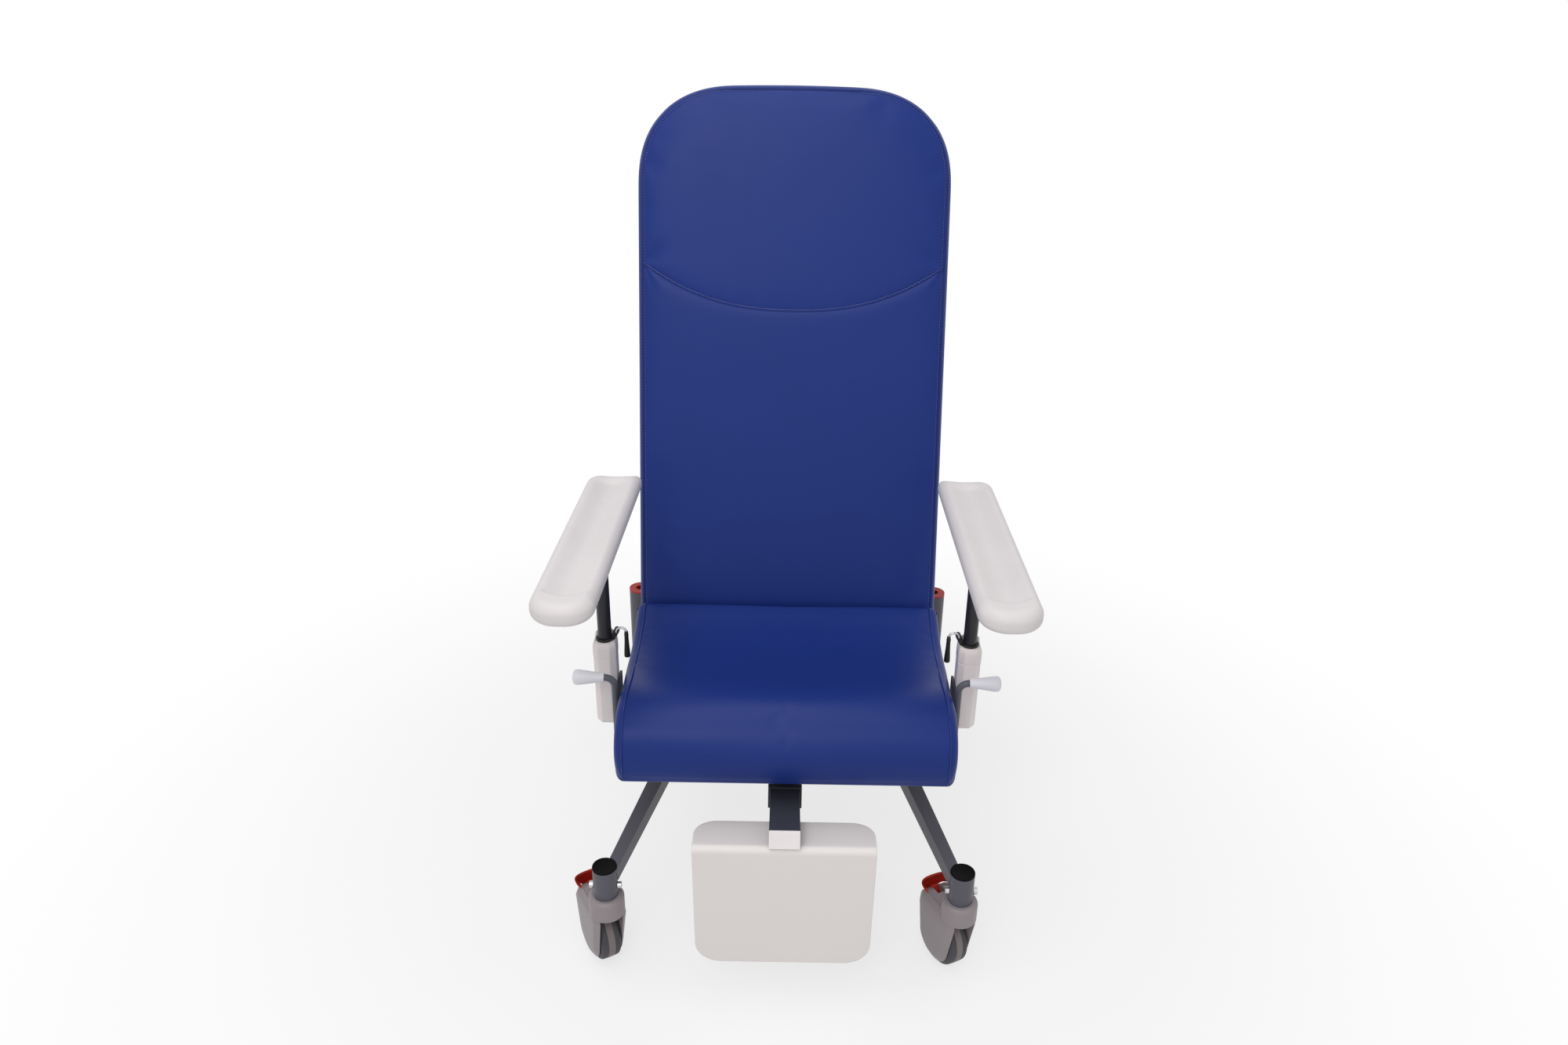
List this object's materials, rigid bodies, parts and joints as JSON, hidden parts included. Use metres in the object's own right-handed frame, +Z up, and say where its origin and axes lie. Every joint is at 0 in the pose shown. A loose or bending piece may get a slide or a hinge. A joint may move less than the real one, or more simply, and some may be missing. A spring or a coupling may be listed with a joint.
{
  "type": "mobile treatment recliner",
  "caption": "Tall padded recliner on braked swivel casters, with height-adjustable swing-out gutter armrests, a gas-sprung back, side release grips and a slide-out footplate.",
  "frame": {"origin": "on the floor under the middle of the whole chair's bounding box", "axes": "+Z up, -Y the way the sitter faces, +X to the right of someone who looks at the front"},
  "size_m": [0.6971, 0.8668, 1.3482],
  "materials": {
    "blue_vinyl": "smooth satin blue vinyl over foam",
    "armrest_foam": "self-skinned light grey polyurethane",
    "grey_paint": "dark grey powder coat",
    "dark_paint": "near-black grey powder coat",
    "white_paint": "light grey powder coat",
    "light_grip": "light grey moulded plastic",
    "black_plastic": "black moulded plastic",
    "red_plastic": "red moulded plastic",
    "caster_plastic": "warm grey moulded plastic",
    "tread": "grey tread band",
    "zinc": "zinc-plated steel",
    "white_plate": "white laminate",
    "board": "dark-faced plywood",
    "bright_rod": "polished steel"
  },
  "bodies": {
    "base": {"base_cross_beam": "grey_paint", "front_legs": "grey_paint", "rear_legs": "grey_paint", "front_caster_posts": "grey_paint", "rear_caster_posts": "grey_paint", "front_post_caps": "black_plastic", "pole_socket_bushes": "red_plastic", "post_bolts": "zinc", "caster_stems": "zinc", "seat_columns": "grey_paint", "seat_rails": "grey_paint", "seat_cross_tubes": "grey_paint", "seat_pan": "board", "seat_cushion": "blue_vinyl", "arm_brackets": "dark_paint", "arm_sleeve_left": "white_paint", "arm_sleeve_right": "white_paint", "arm_post_bushes": "black_plastic", "back_hinge_bolts": "zinc", "footrest_guide": "dark_paint", "release_bar_bushes": "black_plastic", "gas_spring_cylinder": "dark_paint"},
    "backrest": {"back_uprights": "grey_paint", "back_cross_tubes": "grey_paint", "back_panel": "board", "back_cushion": "blue_vinyl"},
    "gas_rod": {"gas_spring_rod": "bright_rod"},
    "release": {"release_bar": "dark_paint", "release_grip_left": "light_grip", "release_grip_right": "light_grip"},
    "footrest": {"footrest_bar": "dark_paint", "footrest_plug": "white_plate", "footplate": "white_plate"},
    "arm_post_left": {"arm_post_left": "dark_paint"},
    "armrest_left": {"armrest_left": "armrest_foam"},
    "arm_lock_left": {"arm_lock_left": "black_plastic"},
    "arm_post_right": {"arm_post_right": "dark_paint"},
    "armrest_right": {"armrest_right": "armrest_foam"},
    "arm_lock_right": {"arm_lock_right": "black_plastic"},
    "caster_front_left": {"caster_housing_front_left": "caster_plastic", "caster_axle_front_left": "zinc"},
    "wheel_front_left": {"wheel_core_front_left": "caster_plastic", "wheel_tyre_front_left": "tread"},
    "pedal_front_left": {"brake_pedal_front_left": "red_plastic"},
    "caster_front_right": {"caster_housing_front_right": "caster_plastic", "caster_axle_front_right": "zinc"},
    "wheel_front_right": {"wheel_core_front_right": "caster_plastic", "wheel_tyre_front_right": "tread"},
    "pedal_front_right": {"brake_pedal_front_right": "red_plastic"},
    "caster_rear_left": {"caster_housing_rear_left": "caster_plastic", "caster_axle_rear_left": "zinc"},
    "wheel_rear_left": {"wheel_core_rear_left": "caster_plastic", "wheel_tyre_rear_left": "tread"},
    "pedal_rear_left": {"brake_pedal_rear_left": "red_plastic"},
    "caster_rear_right": {"caster_housing_rear_right": "caster_plastic", "caster_axle_rear_right": "zinc"},
    "wheel_rear_right": {"wheel_core_rear_right": "caster_plastic", "wheel_tyre_rear_right": "tread"},
    "pedal_rear_right": {"brake_pedal_rear_right": "red_plastic"}
  },
  "joints": [
    {"name": "back_recline", "type": "hinge", "parent": "base", "child": "backrest", "pos_m": [0, 0.125, 0.42], "axis": [-1, 0, 0], "range_deg": [0, 45]},
    {"name": "gas_rod_slide", "type": "slide", "parent": "base", "child": "gas_rod", "axis": [0, 1, 0], "range_m": [-0.073, 0]},
    {"name": "release_turn", "type": "hinge", "parent": "base", "child": "release", "pos_m": [0, -0.218, 0.382], "axis": [1, 0, 0], "range_deg": [0, 15], "stiffness_Nm_per_rad": 2, "springref_deg": -17.19},
    {"name": "footrest_slide", "type": "slide", "parent": "base", "child": "footrest", "axis": [0, -0.9877, 0.1564], "range_m": [0, 0.2]},
    {"name": "arm_height_left", "type": "slide", "parent": "base", "child": "arm_post_left", "axis": [0, 0, 1], "range_m": [-0.09, 0]},
    {"name": "armrest_swing_left", "type": "hinge", "parent": "arm_post_left", "child": "armrest_left", "pos_m": [-0.296, -0.153, 0.722], "axis": [0, 0, -1], "range_deg": [0, 60]},
    {"name": "arm_lock_turn_left", "type": "hinge", "parent": "base", "child": "arm_lock_left", "pos_m": [-0.276, -0.153, 0.558], "axis": [0, -1, 0], "range_deg": [0, 25], "stiffness_Nm_per_rad": 0.05, "springref_deg": -11.46},
    {"name": "arm_height_right", "type": "slide", "parent": "base", "child": "arm_post_right", "axis": [0, 0, 1], "range_m": [-0.09, 0]},
    {"name": "armrest_swing_right", "type": "hinge", "parent": "arm_post_right", "child": "armrest_right", "pos_m": [0.296, -0.153, 0.722], "axis": [0, 0, 1], "range_deg": [0, 60]},
    {"name": "arm_lock_turn_right", "type": "hinge", "parent": "base", "child": "arm_lock_right", "pos_m": [0.276, -0.153, 0.558], "axis": [0, 1, 0], "range_deg": [0, 25], "stiffness_Nm_per_rad": 0.05, "springref_deg": -11.46},
    {"name": "swivel_front_left", "type": "hinge", "parent": "base", "child": "caster_front_left", "pos_m": [-0.29, -0.316, 0.155], "axis": [0, 0, 1], "continuous": true},
    {"name": "roll_front_left", "type": "hinge", "parent": "caster_front_left", "child": "wheel_front_left", "pos_m": [-0.3075, -0.28569, 0.05], "axis": [0.866, 0.5, 0], "continuous": true},
    {"name": "brake_front_left", "type": "hinge", "parent": "caster_front_left", "child": "pedal_front_left", "pos_m": [-0.319, -0.26577, 0.103], "axis": [-0.866, -0.5, 0], "range_deg": [0, 12]},
    {"name": "swivel_front_right", "type": "hinge", "parent": "base", "child": "caster_front_right", "pos_m": [0.29, -0.316, 0.155], "axis": [0, 0, 1], "continuous": true},
    {"name": "roll_front_right", "type": "hinge", "parent": "caster_front_right", "child": "wheel_front_right", "pos_m": [0.27466, -0.28454, 0.05], "axis": [0.8988, 0.4384, 0], "continuous": true},
    {"name": "brake_front_right", "type": "hinge", "parent": "caster_front_right", "child": "pedal_front_right", "pos_m": [0.26457, -0.26387, 0.103], "axis": [-0.8988, -0.4384, 0], "range_deg": [0, 12]},
    {"name": "swivel_rear_left", "type": "hinge", "parent": "base", "child": "caster_rear_left", "pos_m": [-0.306, 0.345, 0.155], "axis": [0, 0, 1], "continuous": true},
    {"name": "roll_rear_left", "type": "hinge", "parent": "caster_rear_left", "child": "wheel_rear_left", "pos_m": [-0.306, 0.38, 0.05], "axis": [1, 0, 0], "continuous": true},
    {"name": "brake_rear_left", "type": "hinge", "parent": "caster_rear_left", "child": "pedal_rear_left", "pos_m": [-0.306, 0.403, 0.103], "axis": [-1, 0, 0], "range_deg": [0, 12]},
    {"name": "swivel_rear_right", "type": "hinge", "parent": "base", "child": "caster_rear_right", "pos_m": [0.306, 0.345, 0.155], "axis": [0, 0, 1], "continuous": true},
    {"name": "roll_rear_right", "type": "hinge", "parent": "caster_rear_right", "child": "wheel_rear_right", "pos_m": [0.306, 0.38, 0.05], "axis": [1, 0, 0], "continuous": true},
    {"name": "brake_rear_right", "type": "hinge", "parent": "caster_rear_right", "child": "pedal_rear_right", "pos_m": [0.306, 0.403, 0.103], "axis": [-1, 0, 0], "range_deg": [0, 12]}
  ],
  "couplings": [
    {"joint": "gas_rod_slide", "follows": "back_recline", "m_per_rad": -0.092577}
  ]
}
